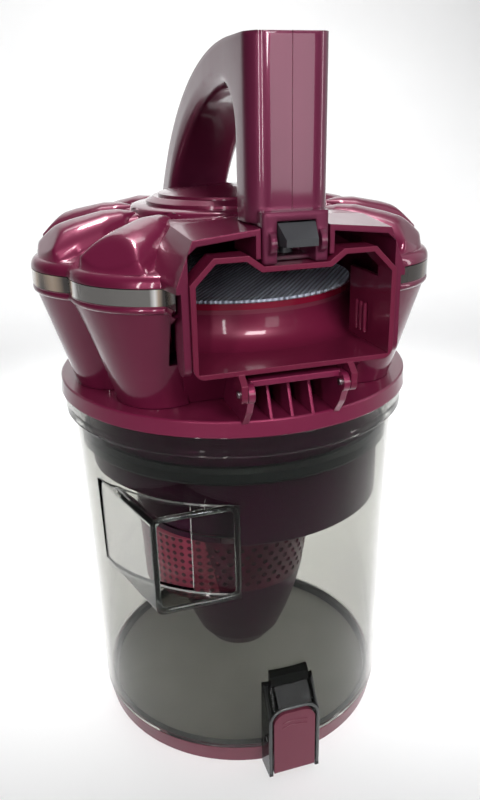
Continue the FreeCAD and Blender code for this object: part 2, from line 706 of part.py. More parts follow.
def make_lid():
    low = size("brim_low")
    high = size("brim_high")
    wall = size("lid_wall")
    hub = size("hub_radius")
    hub_low = size("hub_low")
    hood_y = size("hood_y")
    outer = crown_solid(low, high - 1.6, 0.6, 0.6).fuse(crown_solid(high - 1.6, high, 0.6, 3.0))
    outer = outer.fuse(Part.makeCone(90.5, hub, 16.0, V(0, 0, high - 0.2)))
    outer = outer.fuse(lathe([(0, 265), (hub + 2, 265), (hub + 1, hub_low - 2), (hub, hub_low),
                              (hub - 6, hub_low + 1.4), (0, hub_low + 1.4)]))
    inner = crown_solid(low - 1, high - 1.0, 2.9, 2.9)
    inner = inner.fuse(Part.makeCone(88.0, hub - wall, 14.0, V(0, 0, high - 1.4)))
    inner = inner.fuse(Part.makeCylinder(hub - wall, 18.0, V(0, 0, 260.5)))
    for angle in LOBE_ANGLES:
        outer = outer.fuse(turned(barrel(0.0), angle))
        inner = inner.fuse(turned(barrel(wall), angle))
    shoulder_x = size("hood_shoulder_x")
    shoulder_z = size("hood_shoulder_z")
    crown = size("hood_top")
    rim = [(48.5, low), (48.5, low + 2.5), (shoulder_x, shoulder_z), (14.0, crown)]
    rear = [(55.0, low), (55.0, low + 4.0), (shoulder_x + 1.5, shoulder_z + 2), (14.0, crown + 1.2)]
    tail = [(50.0, low), (50.0, low + 4.0), (40.0, crown - 0.8), (14.0, crown)]
    rear_y = -62.0
    tail_y = -44.0
    outer = outer.fuse(hood_loft(rim, hood_y, rear, rear_y))
    outer = outer.fuse(hood_loft(rear, rear_y, tail, tail_y))
    outer = outer.fuse(block(-15, 15, 46, 77, 262, size("hub_low") - 2))
    opening = [(43.7, low - 2), (43.7, 271.5), (39.9, 274.6), (14.5, 277.4)]
    inner = inner.fuse(hood_form(opening, hood_y - 2, -48.0))
    notch = size("notch_half_width")
    shell = outer.cut(inner)
    shell = shell.cut(block(-notch, notch, -96, -64.5, 262.0, 300))
    for side in (-1, 1):
        x_low = notch if side > 0 else -notch - 2.0
        shell = shell.fuse(block(x_low, x_low + 2.0, hood_y, -64.5, 268.2, crown - 0.6))
        x_low = 43.7 if side > 0 else -46.8
        flange = block(x_low, x_low + 3.1, hood_y, -78.0, 222.4, low + 2)
        lower = [edge for edge in flange.Edges if abs(edge.BoundBox.XLength - 3.1) < 0.01
                 and edge.BoundBox.ZMax < 223]
        shell = shell.fuse(flange.makeFillet(6.0, lower))
    shell = shell.fuse(block(-notch - 2.0, notch + 2.0, -64.5, -62.5, 268.2, crown))
    saddle = prism([V(-15.5, 46.5, 276), V(-15.5, 46.5, 280.7), V(-15.5, 62, 280.7), V(-15.5, 76.5, 278.0),
                    V(-15.5, 76.5, 276)], V(31, 0, 0))
    shell = shell.fuse(saddle)
    thumb = block(-11, 11, 96.2, 102.5, low + 0.6, low + 3.6)
    rounded = [edge for edge in thumb.Edges if edge.BoundBox.YMin > 102.4]
    shell = shell.fuse(thumb.makeFillet(1.4, rounded))
    shell = shell.cut(block(-43.7, 43.7, -100, -60, low - 3, low + 0.1))
    shaped("lid_dome", shell)

    seal = crown_solid(low - SKIN, low + 2.6, 3.1, 3.1).cut(crown_solid(low - 2, low + 4, 5.4, 5.4))
    slot = size("slot_half_width")
    shaped("lid_seal", seal.cut(block(-slot, slot, -100, -50, low - 2, low + 5)))
    top = hub_low + 1.5
    shaped("hub_disc", lathe([(0, top), (40.6, top), (40.6, top + 1.6), (36.8, top + 3.6),
                              (34.4, top + 3.6), (34.4, top + 4.8), (24, top + 6.0), (12, top + 7.6),
                              (0, top + 8.2)]))


def make_exhaust_duct():
    face = size("duct_y")
    half = size("duct_half_width")
    low = size("duct_low")
    top = size("duct_top")
    wall = size("duct_wall")
    shoulder = size("duct_shoulder_z")
    y = size("hinge_y")
    z = size("hinge_z")

    def section(inset):
        return [(half - inset, low + inset), (half - inset, shoulder - inset * 0.4),
                (34.0 - inset * 0.4, top - inset), (19.8 + inset * 0.5, top - inset),
                (13.6 + inset * 0.5, 265.6 - inset)]

    frame = hood_form(section(0), face, -81.0)
    frame = frame.cut(hood_form(section(wall), face - 1, -80.0))
    floor = block(-half, half, -81.0, -46.0, low, low + wall)
    for side in (-1, 1):
        x_low = half - wall if side > 0 else -half
        floor = floor.fuse(block(x_low, x_low + wall, -81.0, -46.0, low, low + 33))
    floor = floor.cut(Part.makeCylinder(size("drum_radius") + 7.6, 60, V(0, 0, low - 5)))
    frame = frame.fuse(floor)
    corners = [edge for edge in frame.Edges if edge.BoundBox.ZMax < low + 0.01
               and edge.BoundBox.XLength < 0.01 and abs(abs(edge.BoundBox.XMax) - half) < 0.01]
    frame = frame.makeFillet(5.0, corners)
    for side in (-1, 1):
        x_low = size("outer_ear_x") if side > 0 else -size("outer_ear_x") - size("ear_thickness")
        x_high = x_low + size("ear_thickness")
        web = [(y - 4.1, z), (y - 4.1, z + 4.5), (face, low + 0.4), (-86.5, low + 0.4), (y + 3.6, z)]
        ear = hinge_ear(x_low, x_high, web)
        ear = ear.cut(rod(size("hinge_pin_radius") + 0.06, V(x_low - 1, y, z), V(x_high + 1, y, z)))
        frame = frame.fuse(ear)
    shaped("exhaust_duct", frame)


def handle_face():
    """Side view of the handle in the plane x = 0."""
    front = size("post_front")
    rear = size("post_rear")
    top = size("handle_top")
    foot = 281.0

    def corner(y, z):
        return V(0, y, z)

    def line(start, end):
        return Part.LineSegment(start, end).toShape()

    def arc(start, middle, end):
        return Part.Arc(start, middle, end).toShape()

    shoulder = [corner(front, top - 1.2), corner(front + 0.35, top - 0.35), corner(front + 1.2, top)]
    spine = [corner(-60, top), corner(8, 333.3), corner(75.8, 280.0)]
    heel = [corner(75.8, 278.4), corner(62, foot), corner(56, foot)]
    bend = 18.0
    ceiling = 331.0
    palm_start = corner(rear + bend, ceiling)
    palm_radius = ((heel[2].y - palm_start.y) ** 2 + (ceiling - foot) ** 2) / (2 * (ceiling - foot))
    reach = (heel[2].y + palm_start.y) / 2 - palm_start.y
    palm_middle = corner(palm_start.y + reach,
                         ceiling - palm_radius + math.sqrt(palm_radius ** 2 - reach ** 2))
    throat_start = corner(rear, ceiling - bend)
    throat_middle = corner(rear + bend * 0.292893, ceiling - bend * 0.292893)
    edges = [
        line(corner(front, foot), shoulder[0]), arc(*shoulder), line(shoulder[2], spine[0]),
        arc(*spine), line(spine[2], heel[0]), line(heel[0], heel[1]), line(heel[1], heel[2]),
        arc(heel[2], palm_middle, palm_start), arc(palm_start, throat_middle, throat_start),
        line(throat_start, corner(rear, foot)), line(corner(rear, foot), corner(front, foot)),
    ]
    return Part.Face(Part.Wire(edges))


def make_handle():
    half = size("handle_half_width")
    wall = size("handle_wall")
    side_face = handle_face()
    solid = side_face.extrude(V(half, 0, 0))
    front = size("post_front")
    corner = 8.5
    plan = [Part.LineSegment(V(0, front, 270), V(half - corner, front, 270)).toShape(),
            Part.Arc(V(half - corner, front, 270),
                     V(half - corner * 0.293, front + corner * 0.293, 270),
                     V(half, front + corner, 270)).toShape(),
            Part.LineSegment(V(half, front + corner, 270), V(half, 90, 270)).toShape(),
            Part.LineSegment(V(half, 90, 270), V(0, 90, 270)).toShape(),
            Part.LineSegment(V(0, 90, 270), V(0, front, 270)).toShape()]
    solid = solid.common(Part.Face(Part.Wire(plan)).extrude(V(0, 0, 90)))
    hollow = side_face.makeOffset2D(-wall).extrude(V(half - wall, 0, 0))
    hollow_plan = Part.makeCylinder(corner - wall, 90, V(half - corner, front + corner, 270))
    nose = block(half - corner, half + 1, front, front + corner, 270, 360).cut(hollow_plan)
    solid = solid.cut(hollow.cut(nose)).Solids[0]
    throat = [edge for edge in solid.Edges if edge.BoundBox.XMin > half - 0.01
              and edge.Length > 5 and edge.BoundBox.YMin > size("post_rear") - 1
              and edge.BoundBox.ZMax > 290 and edge.BoundBox.YMax < 60]
    solid = solid.makeFillet(6.0, throat)
    low = size("block_low")
    width = size("block_half_width")
    front = size("block_front")
    latch_block = block(0, width, front, -66.0, low, size("block_high"))
    rounded = [edge for edge in latch_block.Edges if edge.BoundBox.XMin > width - 0.01
               and edge.BoundBox.YMax < front + 0.01]
    latch_block = latch_block.makeFillet(1.6, rounded)
    solid = solid.fuse(latch_block)
    rod_y = size("rod_y")
    solid = solid.cut(block(-1, 8.1, front - 1, -84.5, low - 1, 282.2))
    solid = solid.cut(block(-1, 8.1, -84.6, -74.5, low + 1.6, 282.2))
    solid = solid.cut(Part.makeCylinder(2.4, 40, V(0, rod_y, 275)))
    solid = solid.cut(block(-1, 5.3, -84.3, -72.7, 340, 352))
    ear = rod(4.6, V(9.2, front + 1.0, 274.0), V(11.6, front + 1.0, 274.0))
    ear = ear.cut(block(5, 15, front + 0.5, front + 9, 260, 290))
    solid = solid.fuse(ear)
    solid = solid.cut(block(-1, SKIN / 2, -120, 120, 250, 360))
    left = mirrored(solid)
    spots = [(-74.6, 298.0), (-74.4, 329.0), (57.6, 287.0)]
    right = solid
    screws = []
    for y, z in spots:
        sleeve = rod(3.2, V(0.2, y, z), V(half - 1.5, y, z))
        mate = rod(3.2, V(-half + 1.5, y, z), V(-0.2, y, z)).cut(rod(1.3, V(-10, y, z), V(0, y, z)))
        right = right.fuse(sleeve)
        left = left.fuse(mate)
        screw = rod(1.25, V(-9, y, z), V(half - 4.4, y, z))
        screw = screw.fuse(rod(2.5, V(half - 4.4, y, z), V(half - 2.4, y, z)))
        screws.append(screw.cut(rod(1.0, V(half - 3.4, y, z), V(half, y, z))))
    for y, z in spots:
        bore = rod(1.6, V(-1, y, z), V(half, y, z)).fuse(rod(2.7, V(half - 4.5, y, z), V(half + 1, y, z)))
        right = right.cut(bore)
    shaped("handle_left", left)
    shaped("handle_right", right)
    shaped("handle_screws", Part.makeCompound(screws))


def make_release():
    front = size("block_front")
    rod_y = size("rod_y")
    wedge = prism([V(-7.7, front + 0.2, 281.4), V(-7.7, -98.4, 275.8), V(-7.7, -98.4, 273.0),
                   V(-7.7, front + 0.2, 273.0)], V(15.4, 0, 0))
    for side in (-1, 1):
        bevel = prism([V(side * 7.8, front, 260), V(side * 7.8, -100, 260), V(side * 6.2, -100, 260)],
                      V(0, 0, 40))
        wedge = wedge.cut(bevel)
    stem = block(-7.7, 7.7, front + 0.2, -85.0, 273.0, 281.4)
    arm = block(-7.7, 7.7, -85.0, -75.2, 277.5, 281.4)
    post = Part.makeCylinder(2.6, 3.2, V(-3.4, -88.6, 269.9))
    shaped("release_catch", wedge.fuse(stem).fuse(arm).fuse(post))
    shaped("catch_spring", spring(2.9, 0.4, V(0, size("return_spring_y"), 268.1), Z_AXIS, 8.9, 5))
    shaped("release_rod", Part.makeCylinder(2.0, 61.4, V(0, rod_y, 281.5)))
    button = block(-5.0, 5.0, -84.0, -73.0, 343.0, size("handle_top") - 0.2)
    upright = [edge for edge in button.Edges if edge.BoundBox.ZLength > 4]
    shaped("release_button", button.makeFillet(1.5, upright))


make_bin()
make_inlet_duct()
make_latch_housing()
make_latch_tab()
make_bottom_door()
make_door_hinge()
make_collar()
make_cyclone_housing()
make_chrome_band()
make_deck()
make_cyclones()
make_filter()
make_inner_pack()
make_lid()
make_exhaust_duct()
make_handle()
make_release()

doc.recompute()

for item in doc.Objects:
    if "Invalid" in item.State or "Error" in item.State:
        raise RuntimeError("%s failed: %s" % (item.Name, item.State))

os.makedirs("parts", exist_ok=True)
for item in parts:
    if item.Shape.isNull() or not item.Shape.isValid():
        raise RuntimeError("bad shape: " + item.Label)
    item.Shape.exportStep("parts/%s.step" % item.Label)
    print(item.Label, len(item.Shape.Solids), round(item.Shape.Volume))
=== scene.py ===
"""Look of the dust canister: materials, refined pieces, floor, light and camera on the CAD frame."""
import math

import bmesh
import bpy
from mathutils import Matrix, Vector


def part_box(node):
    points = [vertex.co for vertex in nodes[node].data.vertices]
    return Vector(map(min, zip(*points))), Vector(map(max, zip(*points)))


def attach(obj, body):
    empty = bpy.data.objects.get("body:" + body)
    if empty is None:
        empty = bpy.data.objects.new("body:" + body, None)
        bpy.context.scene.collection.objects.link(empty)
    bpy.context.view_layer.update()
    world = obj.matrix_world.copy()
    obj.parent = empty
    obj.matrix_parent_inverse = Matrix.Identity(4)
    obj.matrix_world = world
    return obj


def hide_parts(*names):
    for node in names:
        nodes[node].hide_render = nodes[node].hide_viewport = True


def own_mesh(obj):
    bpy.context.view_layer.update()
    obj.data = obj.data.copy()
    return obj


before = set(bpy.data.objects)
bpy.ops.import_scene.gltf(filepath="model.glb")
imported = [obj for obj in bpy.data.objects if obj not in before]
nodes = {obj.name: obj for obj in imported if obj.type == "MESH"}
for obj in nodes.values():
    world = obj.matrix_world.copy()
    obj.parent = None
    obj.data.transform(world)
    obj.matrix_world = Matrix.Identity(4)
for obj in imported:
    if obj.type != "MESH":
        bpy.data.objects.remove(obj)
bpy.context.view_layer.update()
scene = bpy.context.scene


# ---------------------------------------------------------------- materials

class Paint:
    """A node material being built: short calls for the nodes it needs."""

    def __init__(self, name):
        self.material = bpy.data.materials.new(name)
        self.material.use_nodes = True
        self.tree = self.material.node_tree
        self.shader = self.tree.nodes["Principled BSDF"]
        self.coords = self.tree.nodes.new("ShaderNodeTexCoord").outputs["Object"]

    def node(self, kind, **values):
        made = self.tree.nodes.new("ShaderNode" + kind)
        for key, value in values.items():
            if hasattr(made, key):
                setattr(made, key, value)
            else:
                made.inputs[key.replace("_", " ")].default_value = value
        return made

    def link(self, source, target):
        self.tree.links.new(source, target)

    def set(self, **values):
        for key, value in values.items():
            self.shader.inputs[key.replace("_", " ")].default_value = value

    def noise(self, scale, detail=2.0, roughness=0.5, stretch=None):
        made = self.node("TexNoise", Scale=scale, Detail=detail, Roughness=roughness)
        source = self.coords
        if stretch:
            mapping = self.node("Mapping", Scale=stretch)
            self.link(source, mapping.inputs["Vector"])
            source = mapping.outputs["Vector"]
        self.link(source, made.inputs["Vector"])
        return made.outputs["Fac"]

    def ramp(self, value, stops):
        made = self.node("ValToRGB")
        elements = made.color_ramp.elements
        for index, (place, colour) in enumerate(stops):
            element = elements[index] if index < 2 else elements.new(place)
            element.position = place
            element.color = (*colour, 1.0)
        self.link(value, made.inputs["Fac"])
        return made.outputs["Color"]

    def spread(self, value, low, high):
        made = self.node("MapRange")
        made.inputs["To Min"].default_value = low
        made.inputs["To Max"].default_value = high
        self.link(value, made.inputs["Value"])
        return made.outputs["Result"]

    def colour(self, value, stops):
        self.link(self.ramp(value, stops), self.shader.inputs["Base Color"])

    def rough(self, value, low, high):
        self.link(self.spread(value, low, high), self.shader.inputs["Roughness"])

    def bump(self, value, strength, distance, edge=0.0):
        made = self.node("Bump")
        if edge:
            rounding = self.node("Bevel", samples=6)
            rounding.inputs["Radius"].default_value = edge
            self.link(rounding.outputs["Normal"], made.inputs["Normal"])
        made.inputs["Strength"].default_value = strength
        made.inputs["Distance"].default_value = distance
        self.link(value, made.inputs["Height"])
        self.link(made.outputs["Normal"], self.shader.inputs["Normal"])


def burgundy(name, dark, light, metallic, low, high, coat, edge):
    """Moulded plastic with a fine pearl, a faint flow pattern and a soft orange peel."""
    paint = Paint(name)
    flow = paint.noise(14.0, 3.0, 0.55)
    paint.colour(flow, [(0.3, dark), (0.7, light)])
    paint.rough(paint.noise(60.0, 4.0), low, high)
    paint.bump(paint.noise(420.0, 2.0), 0.05, 0.00012, edge)
    paint.set(Metallic=metallic, Coat_Weight=coat, Coat_Roughness=0.06, Coat_IOR=1.34,
              Specular_IOR_Level=0.2)
    return paint.material


def clear_plastic(name, tint, low, high, index=1.3):
    """Transparent moulding with a smoke tint and a few hairline scuffs."""
    paint = Paint(name)
    paint.rough(paint.noise(90.0, 4.0), low, high)
    haze = paint.noise(9.0, 3.0)
    paint.colour(haze, [(0.3, tint), (0.7, tuple(min(1.0, c * 1.05) for c in tint))])
    paint.bump(paint.noise(30.0, 1.0), 0.03, 0.0001)
    paint.set(Transmission_Weight=1.0, IOR=index)
    return paint.material


def dark_plastic(name, dark, light, low, high):
    paint = Paint(name)
    paint.colour(paint.noise(40.0, 3.0), [(0.3, dark), (0.7, light)])
    paint.rough(paint.noise(120.0, 3.0), low, high)
    paint.bump(paint.noise(1600.0, 2.0), 0.15, 0.0003)
    return paint.material


def metal(name, dark, light, low, high):
    """Bare metal with a fine brushed roughness."""
    paint = Paint(name)
    paint.colour(paint.noise(25.0, 3.0), [(0.3, dark), (0.7, light)])
    paint.rough(paint.noise(200.0, 3.0), low, high)
    paint.set(Metallic=1.0)
    return paint.material


def chrome(name):
    """Plated plastic: metal whose colour carries soft brown, bright and dark bands of painted reflection.
    """
    paint = Paint(name)
    # painted reflections: the brown, bright and dark bands stand in for the room the chrome would mirror
    painted_reflection_bands = paint.noise(48.0, 0.0, 0.4, stretch=(1.0, 1.0, 0.12))
    paint.colour(painted_reflection_bands, [(0.40, (0.10, 0.09, 0.085)), (0.46, (0.52, 0.41, 0.32)),
                         (0.51, (0.95, 0.94, 0.92)), (0.60, (0.22, 0.21, 0.20))])
    paint.rough(paint.noise(8.0, 2.0), 0.07, 0.13)
    paint.set(Metallic=0.65)
    return paint.material


def screen_plastic(name):
    """Burgundy screen: rows of round holes on a diagonal grid, drawn as dark dots of painted shade."""
    paint = Paint(name)
    split = paint.node("SeparateXYZ")
    paint.link(paint.coords, split.inputs["Vector"])
    along_wall = paint.node("VectorMath", operation="DOT_PRODUCT")
    paint.link(paint.coords, along_wall.inputs[0])
    along_wall.inputs[1].default_value = (0.6, -0.8, 0.0)
    waves = []
    for slant in (1.0, -1.0):
        mix = paint.node("Math", operation="MULTIPLY_ADD")
        paint.link(split.outputs["Z"], mix.inputs[0])
        mix.inputs[1].default_value = slant
        paint.link(along_wall.outputs["Value"], mix.inputs[2])
        scale = paint.node("Math", operation="MULTIPLY")
        paint.link(mix.outputs["Value"], scale.inputs[0])
        scale.inputs[1].default_value = 2 * math.pi / 0.0088
        wave = paint.node("Math", operation="SINE")
        paint.link(scale.outputs["Value"], wave.inputs[0])
        waves.append(wave)
    product = paint.node("Math", operation="MULTIPLY")
    paint.link(waves[0].outputs["Value"], product.inputs[0])
    paint.link(waves[1].outputs["Value"], product.inputs[1])
    # painted shade: each hole is a dark dot in the colour, standing in for the shade inside it
    paint.colour(paint.spread(product.outputs["Value"], 0.0, 1.0),
                 [(0.30, (0.30, 0.035, 0.075)), (0.42, (0.05, 0.004, 0.014))])
    paint.bump(product.outputs["Value"], 0.3, 0.0006)
    paint.set(Roughness=0.35)
    return paint.material


def ribbed_cloth(name):
    """Blue-grey filter cloth: fine parallel ribs crossed by a tighter weave."""
    paint = Paint(name)
    turn = paint.node("Mapping")
    turn.inputs["Rotation"].default_value = (0, 0, math.radians(35))
    paint.link(paint.coords, turn.inputs["Vector"])
    ribs = paint.node("TexWave", Scale=140.0, Distortion=0.4)
    ribs.bands_direction = "X"
    paint.link(turn.outputs["Vector"], ribs.inputs["Vector"])
    cross = paint.node("TexWave", Scale=210.0, Distortion=0.3)
    cross.bands_direction = "Y"
    paint.link(turn.outputs["Vector"], cross.inputs["Vector"])
    blend = paint.node("Math", operation="MULTIPLY_ADD")
    blend.inputs[1].default_value = 0.45
    paint.link(cross.outputs["Fac"], blend.inputs[0])
    paint.link(ribs.outputs["Fac"], blend.inputs[2])
    paint.colour(blend.outputs["Value"], [(0.05, (0.20, 0.23, 0.31)), (1.0, (0.72, 0.80, 0.95))])
    paint.bump(blend.outputs["Value"], 0.9, 0.0008)
    paint.set(Roughness=0.8, Sheen_Weight=0.2)
    return paint.material


GLOSS = burgundy("burgundy_gloss",
                 (0.108, 0.0078, 0.031), (0.130, 0.0100, 0.039), 0.35, 0.26, 0.36, 1.0, 0.0009)
PORT = burgundy("burgundy_port",
                (0.104, 0.0065, 0.025), (0.126, 0.009, 0.033), 0.2, 0.30, 0.40, 0.6, 0.0006)
# painted light: the collar is the lid's gloss burgundy painted brighter, standing in for the key light
# falling on it
COLLAR_PAINTED_LIGHT = burgundy("burgundy_collar_painted_light",
                  (0.150, 0.0112, 0.042), (0.180, 0.0138, 0.053), 0.35, 0.26, 0.36, 1.0, 0.0009)
DRUM = burgundy("burgundy_drum",
                (0.135, 0.022, 0.042), (0.160, 0.028, 0.052), 0.2, 0.30, 0.40, 0.6, 0.0006)
GRIP = burgundy("burgundy_grip",
                (0.100, 0.012, 0.036), (0.120, 0.015, 0.046), 0.35, 0.26, 0.36, 1.0, 0.0028)
MATT = burgundy("burgundy_matt",
                (0.105, 0.022, 0.038), (0.125, 0.028, 0.046), 0.1, 0.35, 0.5, 0.5, 0.0005)
ROSE = burgundy("burgundy_rose", (0.26, 0.035, 0.075), (0.30, 0.042, 0.085), 0.1, 0.3, 0.4, 0.3, 0.0)
SCREEN = screen_plastic("screen_plastic")
SHROUD_RED = burgundy("burgundy_shroud",
                  (0.085, 0.007, 0.026), (0.105, 0.009, 0.032), 0.1, 0.3, 0.4, 0.5, 0.0)
RIM_RED = burgundy("rim_red", (0.17, 0.005, 0.022), (0.21, 0.007, 0.028), 0.1, 0.2, 0.3, 0.8, 0.0)
SATIN = burgundy("burgundy_satin",
                 (0.036, 0.0040, 0.020), (0.046, 0.0055, 0.026), 0.1, 0.34, 0.48, 0.3, 0.0)
CLEAR = clear_plastic("smoke_clear", (0.53, 0.53, 0.505), 0.02, 0.05)
CLEAR_EDGE = clear_plastic("smoke_edge", (0.30, 0.32, 0.31), 0.02, 0.04)
SMOKE_EDGE = dark_plastic("latch_edge", (0.035, 0.037, 0.038), (0.06, 0.062, 0.062), 0.12, 0.2)
INLET = clear_plastic("smoke_inlet", (0.46, 0.46, 0.44), 0.02, 0.05)
SMOKE = clear_plastic("smoke_dark", (0.07, 0.075, 0.08), 0.02, 0.05, 1.2)
CATCH = dark_plastic("catch_dark", (0.018, 0.019, 0.022), (0.03, 0.031, 0.035), 0.42, 0.58)
PLATE = dark_plastic("plate_grey", (0.36, 0.36, 0.325), (0.42, 0.42, 0.385), 0.5, 0.65)
RUBBER = dark_plastic("seal_rubber", (0.006, 0.010, 0.010), (0.011, 0.018, 0.017), 0.35, 0.5)
CHROME = chrome("chrome_trim")
STEEL = metal("steel", (0.5, 0.5, 0.51), (0.62, 0.62, 0.63), 0.22, 0.35)
CLOTH = ribbed_cloth("filter_cloth")

LOOKS = {
    "bin": CLEAR, "inlet_duct": INLET, "latch_housing": SMOKE, "door_hinge_bracket": SMOKE,
    "bottom_door": MATT, "latch_tab": MATT, "collar": COLLAR_PAINTED_LIGHT, "cyclone_housing": GLOSS,
    "lid_dome": GLOSS, "hub_disc": GLOSS, "exhaust_duct": PORT, "handle_left": GRIP,
    "handle_right": GRIP, "door_plate": PLATE, "deck": SATIN, "filter_drum": DRUM,
    "cyclone_cones": SATIN, "vortex_tubes": SATIN, "shroud_skirt": SATIN, "shroud": SHROUD_RED,
    "shroud_bowl": SATIN, "filter_frame": RIM_RED, "chrome_band": CHROME, "door_seal": RUBBER,
    "bin_seal": RUBBER, "lid_seal": RUBBER, "release_catch": CATCH, "release_button": CATCH,
    "latch_pin": STEEL, "latch_spring": STEEL, "door_hinge_pin": STEEL, "lid_hinge_pins": STEEL,
    "deck_screws": STEEL, "handle_screws": STEEL, "catch_spring": STEEL, "release_rod": STEEL,
    "filter_mesh": CLOTH, "filter_core": CLOTH,
}

for name, look in LOOKS.items():
    slots = nodes[name].data.materials
    slots.clear()
    slots.append(look)


# ---------------------------------------------------------------- moulded lid

LOBE_STEP = 2 * math.pi / 11
VALLEY_REACH = 0.0928
LOBE_REACH = 0.0985
LOBE_CENTRE = (LOBE_REACH ** 2 - VALLEY_REACH ** 2) / (
    2 * (LOBE_REACH - VALLEY_REACH * math.cos(LOBE_STEP / 2)))
LOBE_ARC = LOBE_REACH - LOBE_CENTRE
PORT_CORNER = (0.0480, 0.0885)


def add_piece(name, data, material, body):
    """Put a mesh or a curve in the scene as a piece that rides on a body."""
    data.materials.clear()
    data.materials.append(material)
    piece = bpy.data.objects.new(name, data)
    scene.collection.objects.link(piece)
    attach(piece, body)
    return piece


def to_mesh(name, shape):
    """Write a bmesh to a new mesh and free it."""
    mesh = bpy.data.meshes.new(name)
    shape.to_mesh(mesh)
    shape.free()
    return mesh


def new_piece(name, shape, material, body):
    """Turn a bmesh into a smooth piece that rides on a body."""
    bmesh.ops.recalc_face_normals(shape, faces=shape.faces)
    for face in shape.faces:
        face.smooth = True
    return add_piece(name, to_mesh(name, shape), material, body)


def join_rows(shape, rows):
    """Quads between each row of vertices and the next."""
    for left, right in zip(rows, rows[1:]):
        for index in range(len(left) - 1):
            shape.faces.new((left[index], left[index + 1], right[index + 1], right[index]))


def about_axis(reach, turn, height):
    """Point at a distance from the vertical axis, at an angle from the front."""
    return (reach * math.sin(turn), -reach * math.cos(turn), height)


def soft_max(a, b, width):
    return 0.5 * (a + b + math.hypot(a - b, width))


def soft_min(a, b, width):
    return 0.5 * (a + b - math.hypot(a - b, width))


def along(value, points):
    """Value of a polyline of (place, level) pairs with rising places."""
    if value <= points[0][0]:
        return points[0][1]
    for (start, low), (end, high) in zip(points, points[1:]):
        if value <= end:
            return low + (high - low) * (value - start) / (end - start)
    return points[-1][1]


def outline(turn):
    """Distance from the axis to the lobed outline, at an angle from the front."""
    turn = abs(turn)
    if turn < LOBE_STEP:
        valley = (VALLEY_REACH * math.sin(LOBE_STEP), VALLEY_REACH * math.cos(LOBE_STEP))
        run = (PORT_CORNER[0] - valley[0], PORT_CORNER[1] - valley[1])
        across = valley[0] * run[1] - valley[1] * run[0]
        return across / (math.sin(turn) * run[1] - math.cos(turn) * run[0])
    off = lobe_offset(turn)
    return LOBE_CENTRE * math.cos(off) + math.sqrt(LOBE_ARC ** 2 - (LOBE_CENTRE * math.sin(off)) ** 2)


def lobe_offset(turn):
    """Angle from the middle of the lobe that lies at an angle from the front."""
    return (abs(turn) % LOBE_STEP) - LOBE_STEP / 2


CONE_REACH = 0.0905
CONE_FOOT = 0.2612
CONE_LEAST = 0.2618
CREST = [(0.0475, 0.2788), (0.056, 0.2806), (0.064, 0.2805), (0.078, 0.2778), (0.086, 0.2757),
         (0.100, 0.2715)]
HALF_WIDTH = [(0.0475, 0.0010), (0.056, 0.0095), (0.068, 0.0143), (0.080, 0.0167), (0.095, 0.0178)]


def lid_height(radius, turn):
    """Top surface of the lid: a cone with one puffed ridge over each lobe."""
    valley = soft_max(CONE_FOOT + (CONE_REACH - radius) * 16.0 / 43.0, CONE_LEAST, 0.0012)
    if abs(turn) < LOBE_STEP:
        return valley
    off = lobe_offset(turn)
    out = radius * math.cos(off)
    aside = radius * math.sin(off)
    rise = along(out, CREST) - valley
    share = 1.0 - (aside / along(out, HALF_WIDTH)) ** 2
    bulge = math.copysign(abs(share) ** 0.55, share)
    ridge = valley + max(rise, 0.0006) * max(bulge, -1.5)
    end_face = 0.2619 + (0.0957 - out) * 1.33
    return soft_max(valley, soft_min(ridge, end_face, 0.0013), 0.0006)


def make_lid_skin():
    """Ridged top of the lid, from the hub to the rounded brim, open where the port hood stands."""
    shape = bmesh.new()
    start = math.radians(29.0)
    columns = 440
    hub = 0.0468
    brim_width = 0.0040
    brim_height = 0.0049
    brim_foot = 0.2571
    grid = []
    for column in range(columns + 1):
        turn = start + (2 * math.pi - 2 * start) * column / columns
        signed = turn if turn <= math.pi else turn - 2 * math.pi
        edge = outline(signed) + 0.0001
        line = []
        for step in range(45):
            radius = hub + (edge - brim_width - hub) * step / 44
            line.append((radius, lid_height(radius, signed)))
        for step in range(1, 15):
            angle = math.pi / 2 * step / 14
            radius = edge - brim_width + brim_width * math.sin(angle)
            shoulder = brim_foot + brim_height * math.cos(angle)
            line.append((radius, min(lid_height(radius, signed), shoulder)))
        grid.append([shape.verts.new(about_axis(radius, turn, height)) for radius, height in line])
    join_rows(shape, grid)
    new_piece("lid_skin", shape, GLOSS, "lid")


def make_lid_frame():
    """The rest of the lid: hood, hub, brim underside and inner walls, without the ridges' outsides."""
    shape = bmesh.new()
    shape.from_mesh(nodes["lid_dome"].data)
    brim_foot = 0.2571
    hub = 0.0483
    hood_turn = 33.5
    thumb_lip = 0.0962
    hood_side = 0.057
    hood_back = -0.043
    hood_top = 0.043
    hidden = []
    for face in shape.faces:
        place = face.calc_center_median()
        reach = math.hypot(place.x, place.y)
        turn = math.degrees(math.atan2(abs(place.x), -place.y))
        outward = face.normal.z > 0.02 or face.normal.x * place.x + face.normal.y * place.y > 0.02 * reach
        if not outward or place.z < brim_foot or reach < hub or turn < hood_turn or place.y > thumb_lip:
            continue
        near_hood = abs(place.x) < hood_side and place.y < hood_back
        if near_hood and (abs(place.x) < hood_top or face.normal.x * place.x > 0.5 * abs(place.x)):
            continue
        hidden.append(face)
    bmesh.ops.delete(shape, geom=hidden, context="FACES")
    piece = add_piece("lid_frame", to_mesh("lid_frame", shape), GLOSS, "lid")
    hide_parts("lid_dome")


def make_lathe(name, points, material, body):
    """Ring or cap turned about the vertical axis from (radius, height) points."""
    shape = bmesh.new()
    segments = 160
    rings = []
    for step in range(segments):
        angle = 2 * math.pi * step / segments
        rings.append([shape.verts.new(about_axis(radius, angle, height)) for radius, height in points])
    join_rows(shape, rings + rings[:1])
    new_piece(name, shape, material, body)


